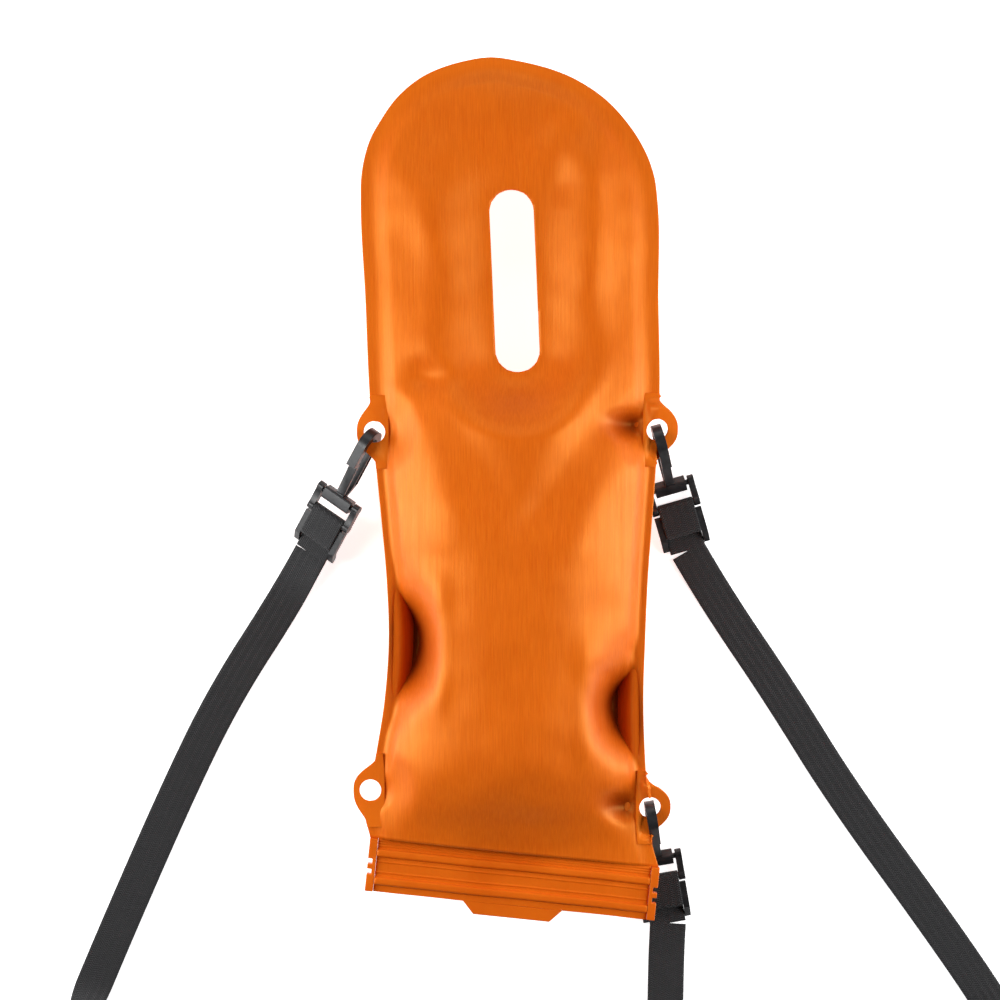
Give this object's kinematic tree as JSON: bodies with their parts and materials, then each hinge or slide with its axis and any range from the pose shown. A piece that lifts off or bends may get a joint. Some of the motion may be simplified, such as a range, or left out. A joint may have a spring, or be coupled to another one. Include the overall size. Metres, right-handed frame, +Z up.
{
  "type": "dry bag",
  "caption": "Soft waterproof bag with a rounded top, long hand slot, press-seal mouth and welded eyelet tabs that carry webbing straps with snap hooks.",
  "frame": {"origin": "middle of the flat resting face under the bag's back panel", "axes": "+X to the right across the bag, +Y up the bag towards its rounded top, +Z up from the table out of the front panel"},
  "size_m": [0.6632, 0.7689, 0.084],
  "materials": {
    "bag_sheet": "satin",
    "tab_sheet": "satin",
    "rim": "satin",
    "closure_strip": "satin",
    "hardware": "satin",
    "webbing": "matte"
  },
  "bodies": {
    "bag": {"front_panel": "bag_sheet", "back_panel": "bag_sheet", "hand_slot_rim": "rim", "lash_tab_upper_left": "tab_sheet", "lash_tab_upper_right": "tab_sheet", "lash_tab_lower_left": "tab_sheet", "lash_tab_lower_right": "tab_sheet", "closure_back_strip": "closure_strip", "back_pull_tab": "closure_strip", "closure_end_left": "closure_strip", "closure_end_right": "closure_strip", "strap_cross": "webbing", "strap_free": "webbing", "hook_loop_spare": "hardware", "strap_fold_spare": "webbing"},
    "closure_front": {"closure_front_strip": "closure_strip", "front_pull_tab": "closure_strip"},
    "hook_upper_left": {"hook_body_upper_left": "hardware"},
    "gate_upper_left": {"hook_gate_upper_left": "hardware"},
    "loop_upper_left": {"hook_loop_upper_left": "hardware", "strap_fold_upper_left": "webbing"},
    "slide_upper_left": {"adjuster_upper_left": "hardware"},
    "hook_upper_right": {"hook_body_upper_right": "hardware"},
    "gate_upper_right": {"hook_gate_upper_right": "hardware"},
    "loop_upper_right": {"hook_loop_upper_right": "hardware", "strap_fold_upper_right": "webbing"},
    "slide_upper_right": {"adjuster_upper_right": "hardware"},
    "hook_lower_right": {"hook_body_lower_right": "hardware"},
    "gate_lower_right": {"hook_gate_lower_right": "hardware"},
    "loop_lower_right": {"hook_loop_lower_right": "hardware", "strap_fold_lower_right": "webbing"},
    "slide_lower_right": {"adjuster_lower_right": "hardware"},
    "hook_spare": {"hook_body_spare": "hardware"},
    "gate_spare": {"hook_gate_spare": "hardware"},
    "slide_spare": {"adjuster_spare": "hardware"}
  },
  "joints": [
    {"name": "closure_open", "type": "hinge", "parent": "bag", "child": "closure_front", "pos_m": [0.00265, -0.24499, 0.04365], "axis": [-0.9947, 0.1028, 0], "range_deg": [0, 50]},
    {"name": "swing_upper_left", "type": "hinge", "parent": "bag", "child": "hook_upper_left", "pos_m": [-0.0928, 0.0408, 0.0444], "axis": [0, 0, 1], "range_deg": [-10, 10], "deforming": ["strap_cross"]},
    {"name": "gate_upper_left", "type": "hinge", "parent": "hook_upper_left", "child": "gate_upper_left", "pos_m": [-0.11677, -0.00132, 0.02965], "axis": [-0.8025, 0.5442, -0.2447], "range_deg": [0, 14], "stiffness_Nm_per_rad": 0.02, "springref_deg": -2.86},
    {"name": "tilt_upper_left", "type": "hinge", "parent": "hook_upper_left", "child": "loop_upper_left", "pos_m": [-0.11828, -0.00488, 0.02669], "axis": [0.8025, -0.5442, 0.2447], "range_deg": [-45, 20], "deforming": ["strap_cross"]},
    {"name": "adjust_upper_left", "type": "slide", "parent": "loop_upper_left", "child": "slide_upper_left", "axis": [-0.4606, -0.8257, -0.3256], "range_m": [0, 0.008], "deforming": ["strap_cross", "strap_fold_upper_left"]},
    {"name": "swing_upper_right", "type": "hinge", "parent": "bag", "child": "hook_upper_right", "pos_m": [0.0993, 0.0422, 0.0444], "axis": [0, 0, 1], "range_deg": [-10, 10], "deforming": ["strap_free"]},
    {"name": "gate_upper_right", "type": "hinge", "parent": "hook_upper_right", "child": "gate_upper_right", "pos_m": [0.10974, 0.00584, 0.01077], "axis": [-0.9611, -0.276, 0], "range_deg": [0, 14], "stiffness_Nm_per_rad": 0.02, "springref_deg": -2.86},
    {"name": "tilt_upper_right", "type": "hinge", "parent": "hook_upper_right", "child": "loop_upper_right", "pos_m": [0.11035, 0.00373, 0.00643], "axis": [0.9611, 0.276, 0], "range_deg": [-45, 10], "deforming": ["strap_free"]},
    {"name": "adjust_upper_right", "type": "slide", "parent": "loop_upper_right", "child": "slide_upper_right", "axis": [0.276, -0.9611, 0], "range_m": [0, 0.02], "deforming": ["strap_free", "strap_fold_upper_right"]},
    {"name": "swing_lower_right", "type": "hinge", "parent": "bag", "child": "hook_lower_right", "pos_m": [0.0944, -0.2142, 0.0444], "axis": [0, 0, 1], "range_deg": [-10, 10], "deforming": ["strap_cross"]},
    {"name": "gate_lower_right", "type": "hinge", "parent": "hook_lower_right", "child": "gate_lower_right", "pos_m": [0.10083, -0.25148, 0.01077], "axis": [-0.9854, -0.1701, 0], "range_deg": [0, 14], "stiffness_Nm_per_rad": 0.02, "springref_deg": -2.86},
    {"name": "tilt_lower_right", "type": "hinge", "parent": "hook_lower_right", "child": "loop_lower_right", "pos_m": [0.10121, -0.25364, 0.00643], "axis": [0.9854, 0.1701, 0], "range_deg": [-45, 10], "deforming": ["strap_cross"]},
    {"name": "adjust_lower_right", "type": "slide", "parent": "loop_lower_right", "child": "slide_lower_right", "axis": [0.1701, -0.9854, 0], "range_m": [0, 0.02], "deforming": ["strap_cross", "strap_fold_lower_right"]},
    {"name": "tilt_spare", "type": "hinge", "parent": "bag", "child": "hook_spare", "pos_m": [0.078, -0.456, 0.0065], "axis": [0, 1, 0], "range_deg": [-3, 80]},
    {"name": "gate_spare", "type": "hinge", "parent": "hook_spare", "child": "gate_spare", "pos_m": [0.07318, -0.456, 0.00581], "axis": [0, 1, 0], "range_deg": [0, 14], "stiffness_Nm_per_rad": 0.02, "springref_deg": -2.86},
    {"name": "adjust_spare", "type": "slide", "parent": "bag", "child": "slide_spare", "axis": [1, 0, 0], "range_m": [0, 0.02], "deforming": ["strap_free", "strap_fold_spare"]}
  ]
}
